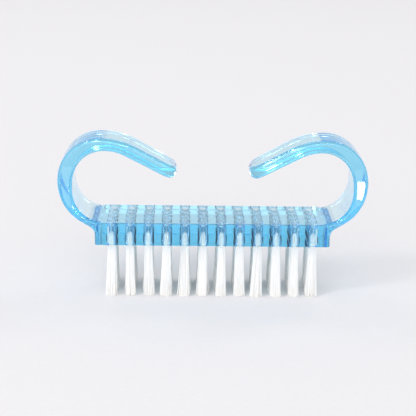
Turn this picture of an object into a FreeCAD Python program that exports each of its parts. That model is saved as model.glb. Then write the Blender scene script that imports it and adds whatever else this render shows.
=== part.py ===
import FreeCAD, Part
import math
import os

# Nail brush: a clear moulded handle, bristle tufts folded into blind bores, and the anchors that hold them.
# Millimetres, +Z up, +X along the brush, front face towards -Y.
# The origin is on the surface that the bristles stand on, under the middle of the block.

# Tuft pattern
columns = 12
rows = 4
column_pitch = 3.89
row_pitch = 3.5

# Block that carries the tufts; its length and depth follow the pattern and these margins
end_margin = 2.6
side_margin = 2.25
block_height = 4.9
block_corner_radius = 0.9
block_edge_radius = 0.25

# Blind bores in the underside of the block
bore_diameter = 2.0
bore_roof = 0.6
bore_end_radius = 0.3
mouth_chamfer = 0.15

# Tufts: a folded root inside the bore and a free bundle below it
bristle_length = 11.7
root_depth = 2.7
fold_radius = 0.55
tuft_clearance = 0.03
tip_gap = 0.6
strands = 9
groove_radius = 0.36
groove_start_radius = 0.04

# Anchors: flat metal plates across the folds, whose ends bite into the bore's wall
anchor_height = 1.3
anchor_thickness = 0.3
anchor_bite = 0.1
anchor_lift = 0.5

# Arms: a loop at each end of the block, then a straight run inwards and down to a tip with a round nose
loop_radius = 6.7
loop_inset = 0.95
loop_rise = 1.4
loop_sink = 0.02
top_thickness = 2.7
side_thickness = 3.1
outer_radius = 8.9
arm_width = 9.4
inner_run_radius = 9.4
outer_run_radius = 16.7
run_slope = 28.5
run_taper = 1.0
mouth_width = 14.6
tip_width = 8.8
tip_flat_width = 4.0
tip_corner_radius = 3.6

# Edges of an arm: their radius, and the most of the heel's wall that it may take
arm_edge_radius = 0.7
edge_share = 0.48

# Sides of an arm: the share of a side step that each end's tangent reaches over
swing_start = 0.6
swing_end = 0.4

# Root of an arm: the outer wall flattens, draws in towards the block and ends in a foot on the block's end
heel_thickness = 1.5
heel_end = 60.0
foot_thickness = 0.95
foot_fillet = 2.0
root_setback = 0.25

# How far a shape that trims another goes past it, and how closely positions are compared
trim_margin = 1.0
tolerance = 0.001

# Sizes that follow from the ones above
block_length = (columns - 1) * column_pitch + 2 * end_margin
block_depth = (rows - 1) * row_pitch + 2 * side_margin
block_bottom = bristle_length
block_top = block_bottom + block_height
block_end = block_length / 2
bore_radius = bore_diameter / 2
bore_end = block_top - bore_roof
anchor_bottom = block_bottom + anchor_lift
loop_x = block_end - loop_inset
loop_low = block_top - loop_sink + loop_radius
loop_high = loop_low + loop_rise
loop_top = loop_high + loop_radius
arm_top = loop_top + top_thickness
arm_side = loop_x + loop_radius + side_thickness
foot_end = block_end + foot_thickness
root_width = block_depth - 2 * root_setback


def at(x, z):
    """A point of the upright XZ plane through the brush's middle."""
    return FreeCAD.Vector(x, 0, z)


def on_circle(centre, radius, degrees):
    """The point of a circle in the XZ plane at an angle measured from +X towards +Z."""
    angle = math.radians(degrees)
    return centre + at(radius * math.cos(angle), radius * math.sin(angle))


def line(start, end):
    return Part.LineSegment(start, end).toShape()


def arc(centre, radius, first, last):
    """An arc in the XZ plane between two angles in degrees."""
    angles = (first, (first + last) / 2, last)
    return Part.Arc(*[on_circle(centre, radius, angle) for angle in angles]).toShape()


def swing(start, end, way):
    """A smooth side step between two points that leaves and arrives along the same direction."""
    length = (end - start).dot(way)
    curve = Part.BezierCurve()
    curve.setPoles([start, start + way * (length * swing_start), end - way * (length * swing_end), end])
    return curve.toShape()


def face_of(edges):
    return Part.Face(Part.Wire(edges))


def tuft_places():
    """Every tuft as row, column, x and y, counted from the front left corner."""
    for row in range(rows):
        y = (row - (rows - 1) / 2) * row_pitch
        for column in range(columns):
            x = (column - (columns - 1) / 2) * column_pitch
            yield row + 1, column + 1, x, y


def block():
    """The plain block, with round upright corners and softened edges."""
    corner = FreeCAD.Vector(-block_end, -block_depth / 2, block_bottom)
    box = Part.makeBox(block_length, block_depth, block_height, corner)
    upright = [edge for edge in box.Edges if edge.BoundBox.ZLength > tolerance]
    box = box.makeFillet(block_corner_radius, upright)
    level = [edge for edge in box.Edges if edge.BoundBox.ZLength < tolerance]
    return box.makeFillet(block_edge_radius, level)


def arm_profile():
    """The right arm seen from the front, closed by an upright line inside the block."""
    low = at(loop_x, loop_low)
    high = at(loop_x, loop_high)
    crown = at(arm_side - outer_radius, arm_top - outer_radius)
    heel_out = on_circle(at(0, 0), 1, -heel_end)
    heel_reach = loop_radius + heel_thickness - (crown - low).dot(heel_out)
    heel_radius = (heel_reach - outer_radius * heel_out.x) / (1 - heel_out.x)
    heel = at(arm_side - heel_radius, crown.z)

    inner_bend = at(loop_x, loop_top - inner_run_radius)
    outer_bend = at(crown.x, arm_top - outer_run_radius)
    outer_slope = 180 + run_slope
    inner_slope = outer_slope - run_taper
    outer_run = on_circle(outer_bend, outer_run_radius, outer_slope - 90)
    inner_run = on_circle(inner_bend, inner_run_radius, inner_slope - 90)
    outer_way = on_circle(at(0, 0), 1, outer_slope)
    inner_up = on_circle(at(0, 0), 1, inner_slope - 90)
    outer_up = on_circle(at(0, 0), 1, outer_slope - 90)
    outer_tip = outer_run + outer_way * ((mouth_width / 2 - outer_run.x) / outer_way.x)
    nose_radius = (outer_tip - inner_run).dot(inner_up) / (1 + (outer_way + outer_up).dot(inner_up))
    nose = outer_tip - (outer_way + outer_up) * nose_radius

    outer_end = on_circle(heel, heel_radius, -heel_end)
    turn = math.radians(heel_end)
    fillet_start_x = foot_end + foot_fillet * (1 - math.cos(turn))
    fillet_start_z = outer_end.z - (outer_end.x - fillet_start_x) / math.tan(turn)
    fillet_centre = at(foot_end + foot_fillet, fillet_start_z - foot_fillet * math.sin(turn))

    return face_of([
        arc(low, loop_radius, -90, 0),
        line(on_circle(low, loop_radius, 0), on_circle(high, loop_radius, 0)),
        arc(high, loop_radius, 0, 90),
        arc(inner_bend, inner_run_radius, 90, inner_slope - 90),
        line(inner_run, on_circle(nose, nose_radius, inner_slope + 90)),
        arc(nose, nose_radius, inner_slope + 90, outer_slope - 90),
        line(on_circle(nose, nose_radius, outer_slope - 90), outer_run),
        arc(outer_bend, outer_run_radius, outer_slope - 90, 90),
        arc(crown, outer_radius, 90, 0),
        arc(heel, heel_radius, 0, -heel_end),
        line(outer_end, at(fillet_start_x, fillet_start_z)),
        arc(fillet_centre, foot_fillet, 180 - heel_end, 180),
        line(at(foot_end, fillet_centre.z), at(foot_end, block_bottom)),
        line(at(foot_end, block_bottom), at(loop_x, block_bottom)),
        line(at(loop_x, block_bottom), on_circle(low, loop_radius, -90)),
    ])


def side_outline():
    """Half of the loop seen from its end: full at the root, then drawn in to the arm's width."""
    root = root_width / 2
    narrow = arm_width / 2
    low = block_bottom - trim_margin
    high = arm_top + trim_margin
    return face_of([
        line(at(0, low), at(root, low)),
        line(at(root, low), at(root, block_bottom)),
        swing(at(root, block_bottom), at(narrow, loop_top), at(0, 1)),
        line(at(narrow, loop_top), at(narrow, high)),
        line(at(narrow, high), at(0, high)),
        line(at(0, high), at(0, low)),
    ])


def run_outline(tip_x):
    """Half of the run seen from above, drawn in XZ: the arm's width at the loop, a round tip corner."""
    narrow = arm_width / 2
    corner_y = tip_width / 2 - tip_corner_radius
    corner_reach = math.sqrt(tip_corner_radius ** 2 - (tip_flat_width / 2 - corner_y) ** 2)
    corner = at(tip_x + corner_reach, corner_y)
    end_x = corner.x - tip_corner_radius
    return face_of([
        line(at(end_x, 0), at(loop_x, 0)),
        line(at(loop_x, 0), at(loop_x, narrow)),
        swing(at(loop_x, narrow), at(corner.x, tip_width / 2), at(-1, 0)),
        arc(corner, tip_corner_radius, 90, 180),
        line(at(end_x, corner_y), at(end_x, 0)),
    ])


def arm_envelope(tip_x):
    """The space that limits the arm's width along the loop and the run."""
    origin = at(0, 0)
    loop_half = side_outline().rotated(origin, FreeCAD.Vector(0, 0, 1), 90)
    loop_half = loop_half.translated(at(loop_x, 0)).extrude(at(arm_side + trim_margin - loop_x, 0))
    run_half = run_outline(tip_x).rotated(origin, FreeCAD.Vector(1, 0, 0), -90)
    run_half = run_half.extrude(at(0, arm_top + trim_margin))
    half = loop_half.fuse(run_half)
    return half.fuse(half.mirror(origin, FreeCAD.Vector(0, 1, 0))).removeSplitter()


def is_side(face):
    """True for a front or back face of the arm, false for one of its walls, which run along Y."""
    first_u, last_u, first_v, last_v = face.ParameterRange
    return abs(face.normalAt((first_u + last_u) / 2, (first_v + last_v) / 2).y) > tolerance


def long_edges(solid):
    """The edges between the arm's walls and sides, without those inside the block or under the foot."""
    chosen = []
    for edge in solid.Edges:
        box = edge.BoundBox
        in_block = box.XMax < loop_x + tolerance and box.ZMax < block_top
        under_foot = box.ZMax < block_bottom + tolerance
        sides = [is_side(face) for face in solid.ancestorsOfType(edge, Part.Face)]
        if sorted(sides) == [False, True] and not in_block and not under_foot:
            chosen.append(edge)
    return chosen


def arm():
    """The right arm as one solid with round edges as its heel allows, its root inside the block."""
    ribbon_width = root_width + 2 * trim_margin
    profile = arm_profile().translated(FreeCAD.Vector(0, -ribbon_width / 2, 0))
    ribbon = profile.extrude(FreeCAD.Vector(0, ribbon_width, 0))
    tip_x = ribbon.BoundBox.XMin
    solid = ribbon.common(arm_envelope(tip_x)).removeSplitter()
    edge_radius = min(arm_edge_radius, edge_share * heel_thickness)
    return solid.makeFillet(edge_radius, long_edges(solid))


def turned(outline):
    """A solid of revolution about the upright axis."""
    return outline.revolve(at(0, 0), at(0, 1), 360)


def bore(x, y):
    """The space of one blind bore, with a chamfered mouth and a rounded end."""
    mouth = bore_radius + mouth_chamfer
    end_centre = at(bore_radius - bore_end_radius, bore_end - bore_end_radius)
    outline = face_of([
        line(at(0, block_bottom), at(mouth, block_bottom)),
        line(at(mouth, block_bottom), at(bore_radius, block_bottom + mouth_chamfer)),
        line(at(bore_radius, block_bottom + mouth_chamfer), at(bore_radius, end_centre.z)),
        arc(end_centre, bore_end_radius, 0, 90),
        line(at(end_centre.x, bore_end), at(0, bore_end)),
        line(at(0, bore_end), at(0, block_bottom)),
    ])
    return turned(outline).translated(FreeCAD.Vector(x, y, 0))


def anchor(x, y):
    """One flat anchor across a tuft's fold, wider than the bore by its bite at each end."""
    width = bore_diameter + 2 * anchor_bite
    corner = FreeCAD.Vector(x - width / 2, y - anchor_thickness / 2, anchor_bottom)
    return Part.makeBox(width, anchor_thickness, anchor_height, corner)


def tuft():
    """One folded bundle on the upright axis: a round-topped root, then strands that part towards the tips."""
    root = bore_radius - tuft_clearance
    tip = (row_pitch - tip_gap) / 2
    spread = tip - root
    bend = (bristle_length ** 2 + spread ** 2) / (2 * spread)
    sweep = math.degrees(math.asin(bristle_length / bend))
    root_top = block_bottom + root_depth
    fold_centre = at(root - fold_radius, root_top - fold_radius)
    outline = face_of([
        line(at(0, 0), at(tip, 0)),
        arc(at(root + bend, block_bottom), bend, 180 + sweep, 180),
        line(at(root, block_bottom), at(root, fold_centre.z)),
        arc(fold_centre, fold_radius, 0, 90),
        line(at(fold_centre.x, root_top), at(0, root_top)),
        line(at(0, root_top), at(0, 0)),
    ])
    start = at(root + groove_start_radius, block_bottom)
    way = at(tip, -trim_margin) - start
    groove = Part.makeCone(groove_start_radius, groove_radius, way.Length, start, way)
    turn = 360 / strands
    grooves = [groove.rotated(at(0, 0), at(0, 1), turn * (number + 0.5)) for number in range(strands)]
    return turned(outline).cut([*grooves, anchor(0, 0)])


def handle_body():
    """Block and both arms as one moulding, with the bores and the anchors' bites cut out."""
    right = arm()
    left = right.mirror(at(0, 0), at(1, 0))
    moulding = block().fuse([right, left]).removeSplitter()
    spaces = []
    for _, _, x, y in tuft_places():
        spaces.append(bore(x, y))
        spaces.append(anchor(x, y))
    return moulding.cut(spaces)


def save(name, shape):
    shape.exportStep("parts/" + name + ".step")
    print(name, "solids", len(shape.Solids), "volume", round(shape.Volume, 3), "valid", shape.isValid())


os.makedirs("parts", exist_ok=True)
save("handle_body", handle_body())
bundle = tuft()
for row_number in range(1, rows + 1):
    places = [place for place in tuft_places() if place[0] == row_number]
    save("anchors_row_%d" % row_number, Part.makeCompound([anchor(x, y) for _, _, x, y in places]))
    for _, column_number, x, y in places:
        save("tuft_r%d_c%02d" % (row_number, column_number), bundle.translated(FreeCAD.Vector(x, y, 0)))
print("length", 2 * arm_side, "depth", block_depth, "height", arm_top)
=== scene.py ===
# %% [markdown]
# # A clear blue nail brush
# The brush is one clear plastic moulding with blind holes in its underside. White nylon filaments are
# folded into those holes over small metal anchors. The measured solids come from the packed CAD model.
# Here they get their looks: the see-through plastic, the separate filaments of every tuft, and the metal
# of the anchors.

# %% Load the measured model
import math

import bpy
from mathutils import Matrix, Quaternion, Vector


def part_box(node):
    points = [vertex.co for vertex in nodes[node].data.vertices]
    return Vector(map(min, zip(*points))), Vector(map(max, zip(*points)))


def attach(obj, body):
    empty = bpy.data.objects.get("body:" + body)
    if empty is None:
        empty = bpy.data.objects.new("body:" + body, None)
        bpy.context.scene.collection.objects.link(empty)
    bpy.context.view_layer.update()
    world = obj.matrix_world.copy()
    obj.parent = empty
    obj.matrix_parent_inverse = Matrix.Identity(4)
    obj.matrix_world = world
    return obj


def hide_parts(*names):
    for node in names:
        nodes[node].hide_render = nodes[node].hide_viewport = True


MM = 0.001

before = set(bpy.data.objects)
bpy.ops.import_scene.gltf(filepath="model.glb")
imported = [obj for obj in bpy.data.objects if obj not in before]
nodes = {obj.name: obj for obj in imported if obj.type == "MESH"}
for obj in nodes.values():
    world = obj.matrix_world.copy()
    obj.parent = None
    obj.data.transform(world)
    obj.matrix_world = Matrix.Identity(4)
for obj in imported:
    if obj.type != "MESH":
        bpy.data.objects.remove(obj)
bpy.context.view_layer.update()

# %% [markdown]
# ## Camera
# The photograph looks at the front of the brush from a little above, a hair from the left, and the
# horizon is not quite level. A long lens far away keeps the brush almost free of perspective. The angles,
# the distance and the lens below were worked out from the block's corners and the tufts' spacing, so the
# picture lines up.

# %% Camera
picture_pixels = 416
focal_pixels = 1398.5
sensor_width = 36.0
nearest_seen = 1 * MM
farthest_seen = 10.0
camera_azimuth = math.radians(-1.14)
camera_elevation = math.radians(15.5)
camera_roll = math.radians(0.893)
camera_distance = 301.7 * MM
aim_point = Vector((-0.909, 0.0, 18.073)) * MM


def towards(azimuth, elevation):
    """A unit vector from the brush outwards; azimuth 0 is straight in front of it."""
    level = math.cos(elevation)
    return Vector((math.sin(azimuth) * level, -math.cos(azimuth) * level, math.sin(elevation)))


def add_camera():
    """The camera of the photograph, aimed at the middle of the picture."""
    data = bpy.data.cameras.new("photo_camera")
    data.sensor_width = sensor_width
    data.lens = sensor_width * focal_pixels / picture_pixels
    data.clip_start = nearest_seen
    data.clip_end = farthest_seen
    camera = bpy.data.objects.new("photo_camera", data)
    bpy.context.scene.collection.objects.link(camera)
    back = towards(camera_azimuth, camera_elevation)
    camera.location = aim_point + camera_distance * back
    camera.rotation_mode = "QUATERNION"
    camera.rotation_quaternion = back.to_track_quat("Z", "Y") @ Quaternion((0, 0, 1), camera_roll)
    bpy.context.scene.camera = camera
    return camera


camera = add_camera()
print("lens mm", round(camera.data.lens, 1), "camera at mm", [round(value / MM) for value in camera.location])

# %% [markdown]
# ## Node maths as plain arithmetic
# Shaders and Geometry Nodes are graphs of small boxes. Wiring each box by hand hides the formula, so one
# small class wraps an output socket: adding or multiplying two of them adds the Math node that does it.
# Every other kind of node comes from the same `node` method, which sets the node's options first and its
# sockets after.

# %% A socket that can be calculated with
class Sock:
    """One output socket of a node tree."""

    def __init__(self, tree, socket):
        self.tree = tree
        self.socket = socket

    @staticmethod
    def node(tree, kind, settings=None, sockets=None, out=0):
        """Add a node, set its options, then fill or link its sockets, and give back one output."""
        made = tree.nodes.new(kind)
        for name, value in (settings or {}).items():
            if name == "stops":
                Sock.fill_ramp(made.color_ramp, value)
            else:
                setattr(made, name, value)
        for name, value in (sockets or {}).items():
            if isinstance(value, Sock):
                tree.links.new(value.socket, made.inputs[name])
            else:
                made.inputs[name].default_value = value
        return Sock(tree, made.outputs[out]) if made.outputs else None

    @staticmethod
    def fill_ramp(ramp, stops):
        """Give a colour ramp its stops, from low to high."""
        while len(ramp.elements) < len(stops):
            ramp.elements.new(1.0)
        for element, (position, colour) in zip(ramp.elements, stops):
            element.position = position
            element.color = (*colour, 1.0)

    def out(self, name):
        """Another output of the same node."""
        return Sock(self.tree, self.socket.node.outputs[name])

    def math(self, operation, *others):
        """Add a Math node that works on this socket and the others."""
        values = dict(enumerate((self, *others)))
        return Sock.node(self.tree, "ShaderNodeMath", {"operation": operation}, values)

    def __add__(self, other):
        return self.math("ADD", other)

    def __mul__(self, other):
        return self.math("MULTIPLY", other)

    def __sub__(self, other):
        return self.math("SUBTRACT", other)

    def __rsub__(self, other):
        return (self * -1) + other

    def __truediv__(self, other):
        return self.math("DIVIDE", other)

    def __pow__(self, other):
        return self.math("POWER", other)

    def __abs__(self):
        return self.math("ABSOLUTE")

    def __gt__(self, other):
        return self.math("GREATER_THAN", other)

    __radd__ = __add__
    __rmul__ = __mul__

    def limited(self, low, high):
        """The value, kept between two limits."""
        return self.math("MAXIMUM", low).math("MINIMUM", high)


print("socket maths:", [name for name in vars(Sock) if name.startswith("__r")], "work from the right too")

# %% [markdown]
# ## Nodes that every finish uses
# A finish on a real thing is never quite even, so each material below starts from the same few nodes: a
# place on the piece, a cloudy noise at that place, a colour that follows the noise, and a bump. Object
# coordinates give the place, because they stay with the piece. Small functions keep the materials short.

# %% Helpers for materials
def new_material(name):
    """An empty material and its node tree."""
    material = bpy.data.materials.new(name)
    material.use_nodes = True
    material.node_tree.nodes.clear()
    return material, material.node_tree


def on_piece(tree):
    """The place on the piece, in metres."""
    return Sock.node(tree, "ShaderNodeTexCoord", out="Object")


def cloudy(tree, place, scale, detail):
    """Noise from 0 to 1; a larger scale makes smaller patches."""
    return Sock.node(tree, "ShaderNodeTexNoise", None, {"Vector": place, "Scale": scale, "Detail": detail})


def shaded(tree, factor, *stops):
    """A colour that follows a factor from stop to stop."""
    return Sock.node(tree, "ShaderNodeValToRGB", {"stops": stops}, {"Fac": factor})


def bumpy(tree, height, strength, distance):
    """A normal that follows a height."""
    sockets = {"Strength": strength, "Distance": distance, "Height": height}
    return Sock.node(tree, "ShaderNodeBump", None, sockets)


def principled(tree, **sockets):
    """A Principled BSDF; a socket's name is written with underscores for its spaces."""
    named = {name.replace("_", " "): value for name, value in sockets.items()}
    return Sock.node(tree, "ShaderNodeBsdfPrincipled", None, named)


print("materials so far", len(bpy.data.materials))

# %% [markdown]
# ## Clear blue plastic
# The handle is clear polystyrene with a sky-blue dye. The dye sits in the plastic, not on it: a thin edge
# looks almost white and a long way through looks deep blue. A coloured glass shader would tint only the
# surface. So the surface here is clear and refracts, and a Volume Absorption node takes red and some
# green out of the light for every millimetre that it travels inside. Moulded plastic is never quite flat,
# so a weak, broad bump bends the refraction a little, and fine handling marks break up the gloss.

# %% Clear blue plastic
dye_colour = (0.0, 0.78, 0.985, 1.0)
dye_per_metre = 122.0
plastic_ior = 1.57
thin_tint = (0.95, 0.985, 1.0)
no_tint = (1.0, 1.0, 1.0)
polish_roughness = 0.012
mark_roughness = 0.05
wear_contrast = 3.0
wear_start = 1.4
flow_height = 0.02 * MM


def clear_blue_plastic():
    """Clear, glossy plastic with dye inside and faint handling marks."""
    material, tree = new_material("clear_blue_plastic_moulding")
    place = on_piece(tree)
    flow = cloudy(tree, place, scale=180.0, detail=2.0)
    marks = cloudy(tree, place, scale=5200.0, detail=3.0)
    wear = cloudy(tree, place, scale=420.0, detail=4.0)
    worn = (wear * wear_contrast - wear_start).limited(0.0, 1.0)
    surface = principled(
        tree, Base_Color=shaded(tree, flow, (0.3, thin_tint), (0.7, no_tint)),
        Roughness=polish_roughness + mark_roughness * worn * marks, IOR=plastic_ior, Transmission_Weight=1.0,
        Normal=bumpy(tree, flow, strength=0.25, distance=flow_height))
    dye = {"Color": dye_colour, "Density": dye_per_metre}
    inside = Sock.node(tree, "ShaderNodeVolumeAbsorption", None, dye)
    Sock.node(tree, "ShaderNodeOutputMaterial", None, {"Surface": surface, "Volume": inside})
    return material


handle = nodes["handle_body"]
handle.data.materials[0] = clear_blue_plastic()
print("handle faces", len(handle.data.polygons))

# %% [markdown]
# ## Anchors
# Each tuft is held by a short flat plate cut from wire. It shows only as a grey gleam through the
# plastic. The CAD solids already have the right shape, so they keep it and get a metal with fine drawing
# lines along the plate's length, which is X here: stretching the noise along X makes lines in that
# direction.

# %% Anchor metal
steel_dark = (0.66, 0.66, 0.65)
steel_light = (0.84, 0.84, 0.83)
steel_roughness = 0.25
line_roughness = 0.2
line_height = 0.01 * MM
line_stretch = (400.0, 9000.0, 9000.0)


def drawn_steel():
    """Plain steel with drawing lines along X."""
    material, tree = new_material("drawn_steel")
    stretched = Sock.node(tree, "ShaderNodeMapping", None, {"Vector": on_piece(tree), "Scale": line_stretch})
    lines = cloudy(tree, stretched, scale=1.0, detail=3.0)
    surface = principled(
        tree, Base_Color=shaded(tree, lines, (0.3, steel_dark), (0.7, steel_light)), Metallic=1.0,
        Roughness=steel_roughness + line_roughness * lines,
        Normal=bumpy(tree, lines, strength=0.4, distance=line_height))
    Sock.node(tree, "ShaderNodeOutputMaterial", None, {"Surface": surface})
    return material


anchor_rows = [nodes[name] for name in sorted(nodes) if name.startswith("anchors_row_")]
anchor_material = drawn_steel()
for anchors in anchor_rows:
    anchors.data.materials[0] = anchor_material
print("anchor groups", len(anchor_rows))

# %% [markdown]
# ## White nylon
# Nylon filament is white, smooth and slightly see-through, so a bundle is bright and its filaments differ
# a little in tone. Every filament carries a random number, `strand`, from the Geometry Nodes tree below.
# The shader reads it and moves each filament between two whites. The colour also turns a touch warmer
# towards the tips, following the height above them. A Translucent BSDF is mixed in: it lets part of the
# light through a filament to the ones behind it, which keeps the inside of a tuft from going grey.

# %% White nylon
nylon_dull = (0.975, 0.975, 0.975)
nylon_bright = (0.998, 0.998, 0.996)
nylon_tip = (0.98, 0.965, 0.93, 1.0)
nylon_through = (0.99, 0.99, 0.985, 1.0)
nylon_ior = 1.53
nylon_gloss = 0.3
nylon_roughness = 0.32
roughness_range = 0.2
tip_band = 3.0 * MM
tip_share = 0.5
through_share = 0.18
through_range = 0.1


def white_nylon():
    """Bright filaments that differ a little in tone and let some light through."""
    material, tree = new_material("white_nylon_filament")
    strand = Sock.node(tree, "ShaderNodeAttribute", {"attribute_name": "strand"}, out="Fac")
    height = Sock.node(tree, "ShaderNodeSeparateXYZ", None, {"Vector": on_piece(tree)}, out="Z")
    tone = shaded(tree, strand, (0.0, nylon_dull), (1.0, nylon_bright))
    near_tip = (1.0 - height / tip_band).limited(0.0, 1.0)
    colour = Sock.node(tree, "ShaderNodeMix", {"data_type": "RGBA"},
                       {"Factor": near_tip * tip_share, "A": tone, "B": nylon_tip}, out=2)
    surface = principled(tree, Base_Color=colour, Roughness=nylon_roughness + roughness_range * strand,
                         IOR=nylon_ior, Specular_IOR_Level=nylon_gloss)
    through = Sock.node(tree, "ShaderNodeBsdfTranslucent", None, {"Color": nylon_through})
    share = through_share + through_range * strand
    both = Sock.node(tree, "ShaderNodeMixShader", None, {0: share, 1: surface, 2: through})
    Sock.node(tree, "ShaderNodeOutputMaterial", None, {"Surface": both})
    return material


nylon = white_nylon()
print("nylon nodes", len(nylon.node_tree.nodes))

# %% [markdown]
# ## Bristle tufts
# On the real brush a small bundle of straight filaments is folded in two over an anchor and pushed into
# its hole. So a filament is a hairpin: two ends below, a half circle over the anchor at the top.
# Modelling thousands by hand is no use, and a hair system would not follow the anchor. Geometry Nodes can
# build every hairpin from a formula: scatter points over the front half of each hole, give each point a
# curve, bend the curve over the anchor, and let its ends drift apart below the block.

# %% Measures for the tufts
tuft_rows = 4
tufts_per_row = 12


def node_middle(name):
    """The middle of a CAD node's box."""
    low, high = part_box(name)
    return (Vector(low) + Vector(high)) / 2


first_tuft = node_middle("tuft_r1_c01")
column_pitch = node_middle("tuft_r1_c02").x - first_tuft.x
row_pitch = node_middle("tuft_r2_c01").y - first_tuft.y
anchor_low, anchor_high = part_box("anchors_row_1")
anchor_top = anchor_high[2]
anchor_half = (anchor_high[1] - anchor_low[1]) / 2
block_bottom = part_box("handle_body")[0][2]
bore_radius = 1.0 * MM
filament_radius = 0.085 * MM
filament_spacing = 0.15 * MM
print("pitch mm", round(column_pitch / MM, 3), round(row_pitch / MM, 3))
print("anchor top mm", round(anchor_top / MM, 2), "block bottom mm", round(block_bottom / MM, 2))

# %% [markdown]
# The tree has named inputs, one for each size, so another brush needs other numbers and no other nodes.
# The inputs are collected first; then the formula for one filament is written with the socket class from
# above. Attributes carry a value from one step to the next: each scattered point remembers its tuft.

# %% Helpers for the tuft tree
def add_inputs(tree, sizes):
    """Give the tree its geometry output and one named input for each size."""
    tree.interface.new_socket("Geometry", in_out="OUTPUT", socket_type="NodeSocketGeometry")
    for name, value in sizes.items():
        kind = "NodeSocketInt" if isinstance(value, int) else "NodeSocketFloat"
        tree.interface.new_socket(name, in_out="INPUT", socket_type=kind).default_value = value
    group = tree.nodes.new("NodeGroupInput")
    return {name: Sock(tree, group.outputs[name]) for name in sizes}


def combine(tree, x, y, z):
    """A vector from three numbers."""
    return Sock.node(tree, "ShaderNodeCombineXYZ", None, {"X": x, "Y": y, "Z": z})


def attribute(tree, name, kind="FLOAT"):
    """Read a named attribute of the geometry."""
    return Sock.node(tree, "GeometryNodeInputNamedAttribute", {"data_type": kind}, {"Name": name})


def parts_of(tree, name):
    """The X, Y and Z of a named attribute that is a vector."""
    return Sock.node(tree, "ShaderNodeSeparateXYZ", None, {0: attribute(tree, name, "FLOAT_VECTOR")})


def store(geometry, name, value, kind="FLOAT", domain="POINT"):
    """Write a named attribute on the geometry."""
    settings = {"data_type": kind, "domain": domain}
    return Sock.node(geometry.tree, "GeometryNodeStoreNamedAttribute", settings,
                     {"Geometry": geometry, "Name": name, "Value": value})


def copied_to(points, instance):
    """A copy of the instance on every point, as real geometry."""
    copies = Sock.node(points.tree, "GeometryNodeInstanceOnPoints", None,
                       {"Points": points, "Instance": instance})
    return Sock.node(points.tree, "GeometryNodeRealizeInstances", None, {"Geometry": copies})


def drawn(tree, low, high, seed, index=None):
    """A random number for each point, or for each value of index."""
    sockets = {2: low, 3: high, "Seed": seed}
    if index is not None:
        sockets["ID"] = index
    return Sock.node(tree, "FunctionNodeRandomValue", {"data_type": "FLOAT"}, sockets, out=1)


tuft_sizes = {
    "Tufts": tufts_per_row, "Pitch": column_pitch, "Row Y": first_tuft.y, "Bore Radius": bore_radius,
    "Filament Radius": filament_radius, "Spacing": filament_spacing, "Anchor Half": anchor_half,
    "Anchor Top": anchor_top, "Block Bottom": block_bottom, "Spread": 0.45, "Lean": 0.3 * MM,
    "Stray": 0.13 * MM, "Seed": 11,
}
print("inputs of the tuft tree", len(tuft_sizes))

# %% [markdown]
# A row starts as a line of points, one for each hole. A disc on each point is the room for the filaments,
# a little smaller than the hole. A Poisson scatter keeps neighbours apart, as real filaments are. The
# points at the back are deleted, because each filament comes down there with its second end.

# %% Tuft tree, the scattered roots
# The margins count filament radii, from the hole's wall and from the anchor's face
disc_corners = 32
points_per_area = 4.0e8
wall_margin = 1.4
anchor_margin = 1.2


def scattered_roots(tree, size):
    """Points over the front half of every hole in one row, each with its tuft's middle and number."""
    start_x = size["Pitch"] * (size["Tufts"] - 1) * -0.5
    line = Sock.node(tree, "GeometryNodeMeshLine", {"mode": "OFFSET"}, {
        "Count": size["Tufts"], "Start Location": combine(tree, start_x, size["Row Y"], 0.0),
        "Offset": combine(tree, size["Pitch"], 0.0, 0.0)})
    line = store(line, "tuft_middle", Sock.node(tree, "GeometryNodeInputPosition"), "FLOAT_VECTOR")
    line = store(line, "tuft_number", Sock.node(tree, "GeometryNodeInputIndex"))
    disc_radius = size["Bore Radius"] - size["Filament Radius"] * wall_margin
    disc = Sock.node(tree, "GeometryNodeMeshCircle", {"fill_type": "NGON"},
                     {"Vertices": disc_corners, "Radius": disc_radius})
    points = Sock.node(tree, "GeometryNodeDistributePointsOnFaces", {"distribute_method": "POISSON"}, {
        "Mesh": copied_to(line, disc), "Distance Min": size["Spacing"], "Density Max": points_per_area,
        "Seed": size["Seed"]})
    from_middle = Sock.node(tree, "ShaderNodeVectorMath", {"operation": "SUBTRACT"}, {
        0: Sock.node(tree, "GeometryNodeInputPosition"), 1: attribute(tree, "tuft_middle", "FLOAT_VECTOR")})
    points = store(points, "root", from_middle, "FLOAT_VECTOR")
    nearest = (size["Anchor Half"] + size["Filament Radius"] * anchor_margin) * -1
    too_far_back = parts_of(tree, "root").out("Y") > nearest
    return Sock.node(tree, "GeometryNodeDeleteGeometry", {"domain": "POINT"},
                     {"Geometry": points, "Selection": too_far_back})


print("roots: Poisson scatter,", round(filament_spacing / MM, 3), "mm apart")

# %% [markdown]
# One filament is drawn from its front tip, over the anchor, to its back tip. `way` runs from -1 to 1
# along it. The first quarter on each side of the middle is the fold, an arc about the anchor's top edge.
# The rest goes straight down. Below the block the ends are free: they spread, the whole tuft leans a
# little, and each end strays by itself. All three grow from nothing at the block, so no filament touches
# the hole's wall. Each random number has a seed of its own, counted up from the row's seed.

# %% Tuft tree, the shape of a filament
points_along = 27
fold_share = 0.25
strand_numbers = 10000.0
# The trimmed tips end between these heights above the ground
trim_low = 0.03 * MM
trim_high = 0.2 * MM
spread_low = 0.7
spread_high = 1.3
# Powers of the free share: a higher one keeps the filament straight for longer
spread_growth = 1.4
lean_growth = 1.6
stray_growth = 2.0


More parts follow.
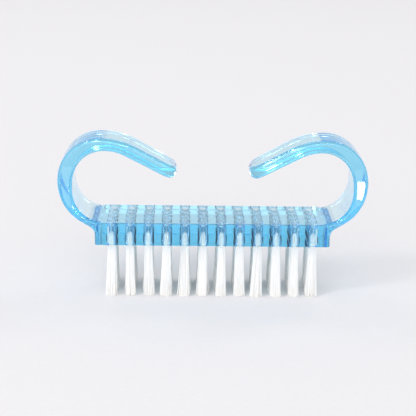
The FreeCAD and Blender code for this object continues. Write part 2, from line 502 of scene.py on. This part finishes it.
def folded_filaments(tree, size, roots):
    """Bend a line over the anchor at every root and spread its ends below the block."""
    straight = Sock.node(tree, "GeometryNodeCurvePrimitiveLine", None, {"End": (0.0, 0.0, 1.0)})
    straight = Sock.node(tree, "GeometryNodeResampleCurve", None, {"Curve": straight, "Count": points_along})
    roots = store(roots, "strand", drawn(tree, 0.0, 1.0, size["Seed"] + 1))
    lines = copied_to(roots, straight)

    way = Sock.node(tree, "GeometryNodeSplineParameter", out="Factor") * 2.0 - 1.0
    side = way.math("SIGN")
    along = abs(way)
    turn = (along / fold_share).limited(0.0, 1.0) * (math.pi / 2)
    fall = ((along - fold_share) / (1.0 - fold_share)).limited(0.0, 1.0)
    root = parts_of(tree, "root")
    middle = parts_of(tree, "tuft_middle")
    fold_radius = root.out("Y") * -1.0

    # A whole number for each end of each filament, so that both ends get random values of their own
    strand = attribute(tree, "strand")
    end_number = (strand * strand_numbers + side * 0.5).math("ROUND") * 2.0 + side
    trim = drawn(tree, trim_low, trim_high, size["Seed"] + 2, end_number)
    top = size["Anchor Top"]
    z = top + turn.math("COSINE") * fold_radius - fall * (top - trim)

    tuft = attribute(tree, "tuft_number")
    free = ((size["Block Bottom"] - z) / size["Block Bottom"]).limited(0.0, 1.0)
    fullness = drawn(tree, spread_low, spread_high, size["Seed"] + 3, tuft)
    spread = 1.0 + fullness * size["Spread"] * free ** spread_growth
    lean_x = drawn(tree, -1.0, 1.0, size["Seed"] + 4, tuft) * size["Lean"] * free ** lean_growth
    lean_y = drawn(tree, -1.0, 1.0, size["Seed"] + 5, tuft) * size["Lean"] * free ** lean_growth
    stray_x = drawn(tree, -1.0, 1.0, size["Seed"] + 6, end_number) * size["Stray"] * free ** stray_growth
    stray_y = drawn(tree, -1.0, 1.0, size["Seed"] + 7, end_number) * size["Stray"] * free ** stray_growth
    x = middle.out("X") + root.out("X") * spread + lean_x + stray_x
    y = middle.out("Y") + side * turn.math("SINE") * fold_radius * spread + lean_y + stray_y
    bent = {"Geometry": lines, "Position": combine(tree, x, y, z)}
    return Sock.node(tree, "GeometryNodeSetPosition", None, bent)


print("points along a filament", points_along)

# %% [markdown]
# A curve has no thickness, so a small ring is drawn along each line. Six sides are enough for a filament
# that is thinner than a pixel. The tree ends with real geometry and the nylon, and every row is kept as a
# plain mesh in the place of that row's CAD tufts. Each row has its own seed, so no two rows are alike.

# %% Grow the rows
filament_sides = 6
seed_step = 20


def tuft_tree(material):
    """The whole tree: roots, folded lines, tubes and material."""
    tree = bpy.data.node_groups.new("tuft_row", "GeometryNodeTree")
    size = add_inputs(tree, tuft_sizes)
    lines = folded_filaments(tree, size, scattered_roots(tree, size))
    section = Sock.node(tree, "GeometryNodeCurvePrimitiveCircle", None,
                        {"Resolution": filament_sides, "Radius": size["Filament Radius"]})
    tubes = Sock.node(tree, "GeometryNodeCurveToMesh", None,
                      {"Curve": lines, "Profile Curve": section, "Fill Caps": True})
    tubes = Sock.node(tree, "GeometryNodeSetShadeSmooth", None, {"Geometry": tubes})
    solid = Sock.node(tree, "GeometryNodeRealizeInstances", None, {"Geometry": tubes})
    solid = Sock.node(tree, "GeometryNodeSetMaterial", None, {"Geometry": solid, "Material": material})
    Sock.node(tree, "NodeGroupOutput", None, {"Geometry": solid})
    return tree


def grow_row(tree, name, row_y, seed):
    """Run the tree for one row and keep the result as a plain mesh."""
    holder = bpy.data.objects.new(name + "_holder", bpy.data.meshes.new(name + "_holder"))
    bpy.context.scene.collection.objects.link(holder)
    modifier = holder.modifiers.new("tufts", "NODES")
    modifier.node_group = tree
    sockets = {item.name: item.identifier for item in tree.interface.items_tree if item.in_out == "INPUT"}
    for size_name, value in {**tuft_sizes, "Row Y": row_y, "Seed": seed}.items():
        modifier[sockets[size_name]] = value
    evaluated = holder.evaluated_get(bpy.context.evaluated_depsgraph_get())
    mesh = bpy.data.meshes.new_from_object(evaluated)
    mesh.name = name
    holder.modifiers.remove(modifier)
    bpy.data.objects.remove(holder)
    row = bpy.data.objects.new(name, mesh)
    bpy.context.scene.collection.objects.link(row)
    return row


filaments = tuft_tree(nylon)
for row_number in range(1, tuft_rows + 1):
    row_y = first_tuft.y + (row_number - 1) * row_pitch
    row_seed = tuft_sizes["Seed"] + seed_step * row_number
    row = grow_row(filaments, "bristles_row_%d" % row_number, row_y, row_seed)
    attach(row, "root")
    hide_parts(*["tuft_r%d_c%02d" % (row_number, column + 1) for column in range(tufts_per_row)])
    print(row.name, "faces", len(row.data.polygons))

# %% [markdown]
# ## Floor
# The brush stands on a pale seamless sheet. A square that is far larger than the picture does for it,
# with a faint mottle so that it is not dead flat. It is only stage: it is left behind when the brush is
# used elsewhere.

# %% Floor
floor_half = 2.0
paper_dark = (0.785, 0.775, 0.79)
paper_light = (0.805, 0.795, 0.81)
paper_roughness = 0.8
paper_gloss = 0.1


def pale_paper():
    """A matt sheet with a faint mottle."""
    material, tree = new_material("pale_paper")
    fibre = cloudy(tree, on_piece(tree), scale=900.0, detail=4.0)
    surface = principled(tree, Base_Color=shaded(tree, fibre, (0.2, paper_dark), (0.8, paper_light)),
                         Roughness=paper_roughness, Specular_IOR_Level=paper_gloss)
    Sock.node(tree, "ShaderNodeOutputMaterial", None, {"Surface": surface})
    return material


corners = [(floor_half * x, floor_half * y, 0) for x, y in ((-1, -1), (1, -1), (1, 1), (-1, 1))]
sheet = bpy.data.meshes.new("floor")
sheet.from_pydata(corners, [], [(0, 1, 2, 3)])
sheet.materials.append(pale_paper())
floor = bpy.data.objects.new("floor", sheet)
bpy.context.scene.collection.objects.link(floor)
print("floor metres", 2 * floor_half)

# %% [markdown]
# ## Light
# The light is very soft. Most of it comes from all round: the world is almost even, with a broad glow in
# front that lights the tufts. Clear plastic shows every edge of a lamp, so the glow has none. One small
# lamp at the left, above the front, gives the faint shadow to the right. Two more stand behind the brush:
# light that enters the arms from there leaves as white glints at the tips and the bends. The last is
# small and stands near the camera: the side of the right arm mirrors it as a white patch.

# %% Lights
lamp_distance = 0.9
horizon_falloff = 3.0
glow_falloff = 6.0
white = (1.0, 1.0, 1.0)


def add_lamp(name, azimuth, elevation, width, watts, colour=white):
    """A square lamp that faces the brush from a direction in degrees."""
    data = bpy.data.lights.new(name, "AREA")
    data.size = width
    data.energy = watts
    data.color = colour
    lamp = bpy.data.objects.new(name, data)
    bpy.context.scene.collection.objects.link(lamp)
    back = towards(math.radians(azimuth), math.radians(elevation))
    lamp.location = aim_point + lamp_distance * back
    lamp.rotation_mode = "QUATERNION"
    lamp.rotation_quaternion = back.to_track_quat("Z", "Y")


def surround(colour, overhead, horizon, glow_from, glow):
    """Light from all round, a little stronger near the horizon and towards one side, without any edge."""
    world = bpy.data.worlds.new("soft_room")
    world.use_nodes = True
    tree = world.node_tree
    tree.nodes.clear()
    way = Sock.node(tree, "ShaderNodeTexCoord", out="Generated")
    height = Sock.node(tree, "ShaderNodeSeparateXYZ", None, {"Vector": way}, out="Z")
    facing = Sock.node(tree, "ShaderNodeVectorMath", {"operation": "DOT_PRODUCT"}, {0: way, 1: glow_from},
                       out="Value")
    low = horizon * (1.0 - abs(height)) ** horizon_falloff
    level = overhead + low + glow * facing.limited(0.0, 1.0) ** glow_falloff
    light = Sock.node(tree, "ShaderNodeBackground", None, {"Color": colour, "Strength": level})
    Sock.node(tree, "ShaderNodeOutputWorld", None, {"Surface": light})
    bpy.context.scene.world = world


front_glow = towards(math.radians(-6), math.radians(21))
surround(colour=(0.985, 0.985, 1.0, 1.0), overhead=0.68, horizon=0.25, glow_from=front_glow, glow=2.1)
add_lamp("key_lamp", azimuth=-42, elevation=50, width=0.16, watts=1.4, colour=(1.0, 0.985, 0.96))
add_lamp("back_left_lamp", azimuth=-146, elevation=44, width=0.12, watts=0.5)
add_lamp("back_right_lamp", azimuth=140, elevation=50, width=0.12, watts=0.5)
add_lamp("front_lamp", azimuth=9.4, elevation=13.6, width=0.07, watts=0.26)

# %% [markdown]
# ## How far light is followed
# Two settings matter for clear plastic. Light is mirrored many times inside it, and each mirroring counts
# as a bounce, so the limits are high. Filter Glossy blurs refraction after a diffuse bounce to save
# noise; that also loses light, and the tufts behind plastic turn grey. It is switched off, and the shadow
# gets its blue tinge.

# %% Light paths and tones
all_bounces = 48
bounces_of_a_kind = 32

scene = bpy.context.scene
scene.view_settings.view_transform = "Standard"
scene.cycles.blur_glossy = 0.0
scene.cycles.max_bounces = all_bounces
scene.cycles.transmission_bounces = bounces_of_a_kind
scene.cycles.glossy_bounces = bounces_of_a_kind
scene.cycles.diffuse_bounces = bounces_of_a_kind
scene.cycles.transparent_max_bounces = bounces_of_a_kind
print("bounces", scene.cycles.max_bounces, "tones", scene.view_settings.view_transform)

# %% [markdown]
